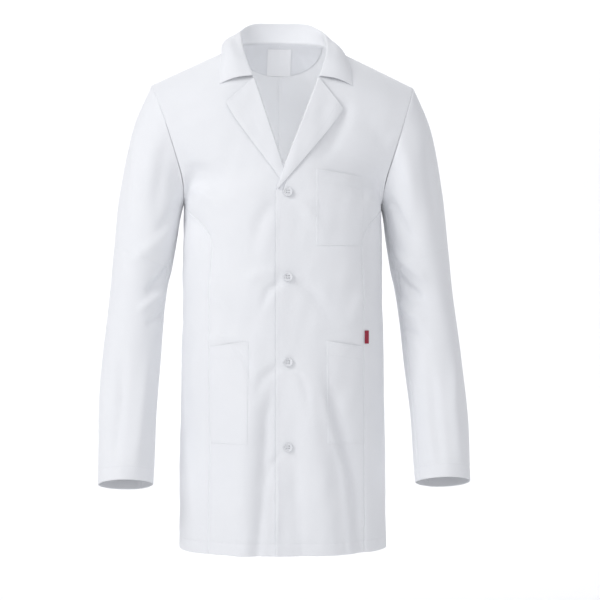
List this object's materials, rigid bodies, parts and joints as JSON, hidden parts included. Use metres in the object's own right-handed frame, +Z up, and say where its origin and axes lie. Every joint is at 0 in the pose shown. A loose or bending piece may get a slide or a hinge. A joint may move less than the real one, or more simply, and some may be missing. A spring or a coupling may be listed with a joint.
{
  "type": "lab coat",
  "caption": "White long-sleeved lab coat with a buttoned front, notch lapels, a turned collar, patch pockets and two-piece sleeves, filled out as it is when worn.",
  "frame": {"origin": "the middle of the neck opening, level with the neck ends of the shoulder seams, where a form or a hanger holds the coat", "axes": "+Z up, the front of the coat faces -Y, and the wearer's left is +X"},
  "size_m": [0.638, 0.2601, 0.9228],
  "materials": {
    "coat_cloth": "bluish-white cotton blend twill, matt",
    "inside_cloth": "the inner side and facings of the same twill",
    "label_cloth": "blank woven satin label",
    "tab_cloth": "plain dark red woven ribbon",
    "button_plastic": "white polyester resin, polished rim",
    "sewing_thread": "white spun polyester thread"
  },
  "bodies": {
    "root": {"back_left": "coat_cloth", "back_right": "coat_cloth", "side_panel_left": "coat_cloth", "side_panel_right": "coat_cloth", "front_left_chest": "coat_cloth", "front_right": "coat_cloth", "facing_left_chest": "inside_cloth", "facing_right": "inside_cloth", "back_neck_facing": "inside_cloth", "neck_label": "label_cloth", "collar_stand": "coat_cloth", "top_collar": "coat_cloth", "under_collar": "inside_cloth", "chest_pocket": "coat_cloth", "hip_pocket_right": "coat_cloth", "buttonhole_1": "coat_cloth"},
    "front_left": {"front_left_skirt": "coat_cloth", "facing_left_skirt": "inside_cloth", "hip_pocket_left": "coat_cloth", "buttonhole_2": "coat_cloth", "buttonhole_3": "coat_cloth", "buttonhole_4": "coat_cloth"},
    "lapel_left": {"lapel_left_under": "inside_cloth", "lapel_left_top": "coat_cloth"},
    "lapel_right": {"lapel_right_under": "inside_cloth", "lapel_right_top": "coat_cloth"},
    "tab": {"side_tab": "tab_cloth"},
    "sleeve_left": {"top_sleeve_upper_left": "coat_cloth", "under_sleeve_upper_left": "coat_cloth", "elbow_folds_left": "coat_cloth"},
    "forearm_left": {"top_sleeve_lower_left": "coat_cloth", "under_sleeve_lower_left": "coat_cloth"},
    "sleeve_right": {"top_sleeve_upper_right": "coat_cloth", "under_sleeve_upper_right": "coat_cloth", "elbow_folds_right": "coat_cloth"},
    "forearm_right": {"top_sleeve_lower_right": "coat_cloth", "under_sleeve_lower_right": "coat_cloth"},
    "button_1": {"button_1": "button_plastic", "button_thread_1": "sewing_thread"},
    "button_2": {"button_2": "button_plastic", "button_thread_2": "sewing_thread"},
    "button_3": {"button_3": "button_plastic", "button_thread_3": "sewing_thread"},
    "button_4": {"button_4": "button_plastic", "button_thread_4": "sewing_thread"}
  },
  "joints": [
    {"name": "shoulder_left", "type": "hinge", "parent": "root", "child": "sleeve_left", "pos_m": [0.229, 0, -0.068], "axis": [0, -1, 0], "range_deg": [0, 45]},
    {"name": "elbow_left", "type": "hinge", "parent": "sleeve_left", "child": "forearm_left", "pos_m": [0.252, 0.01, -0.432], "axis": [-1, 0, 0], "range_deg": [0, 60], "deforming": ["elbow_folds_left"]},
    {"name": "shoulder_right", "type": "hinge", "parent": "root", "child": "sleeve_right", "pos_m": [-0.229, 0, -0.068], "axis": [0, 1, 0], "range_deg": [0, 45]},
    {"name": "elbow_right", "type": "hinge", "parent": "sleeve_right", "child": "forearm_right", "pos_m": [-0.252, 0.01, -0.432], "axis": [-1, 0, 0], "range_deg": [0, 60], "deforming": ["elbow_folds_right"]},
    {"name": "front_left_open", "type": "hinge", "parent": "root", "child": "front_left", "pos_m": [0.13536, -0.09851, -0.868], "axis": [-0.0101, 0.005, 0.9999], "range_deg": [0, 60], "deforming": ["buttonhole_2", "buttonhole_3", "buttonhole_4"]},
    {"name": "lapel_left_turn", "type": "hinge", "parent": "root", "child": "lapel_left", "pos_m": [-0.01534, -0.12924, -0.2479], "axis": [-0.3623, -0.1712, -0.9162], "range_deg": [0, 80]},
    {"name": "lapel_right_turn", "type": "hinge", "parent": "root", "child": "lapel_right", "pos_m": [0.01534, -0.12444, -0.2479], "axis": [-0.3637, 0.1478, 0.9197], "range_deg": [0, 80]},
    {"name": "tab_flap", "type": "hinge", "parent": "root", "child": "tab", "pos_m": [0.13167, -0.09668, -0.503], "axis": [0.0101, -0.005, -0.9999], "range_deg": [0, 45]},
    {"name": "button_1_twist", "type": "hinge", "parent": "root", "child": "button_1", "pos_m": [0, -0.12611, -0.259], "axis": [0, -0.991, 0.134], "range_deg": [-45, 45]},
    {"name": "button_2_twist", "type": "hinge", "parent": "root", "child": "button_2", "pos_m": [0, -0.12886, -0.4013], "axis": [0, -1, 0.0067], "range_deg": [-45, 45]},
    {"name": "button_3_twist", "type": "hinge", "parent": "root", "child": "button_3", "pos_m": [0, -0.12982, -0.5436], "axis": [0, -1, 0.0067], "range_deg": [-45, 45]},
    {"name": "button_4_twist", "type": "hinge", "parent": "root", "child": "button_4", "pos_m": [0, -0.13078, -0.6859], "axis": [0, -1, 0.0067], "range_deg": [-45, 45]}
  ]
}
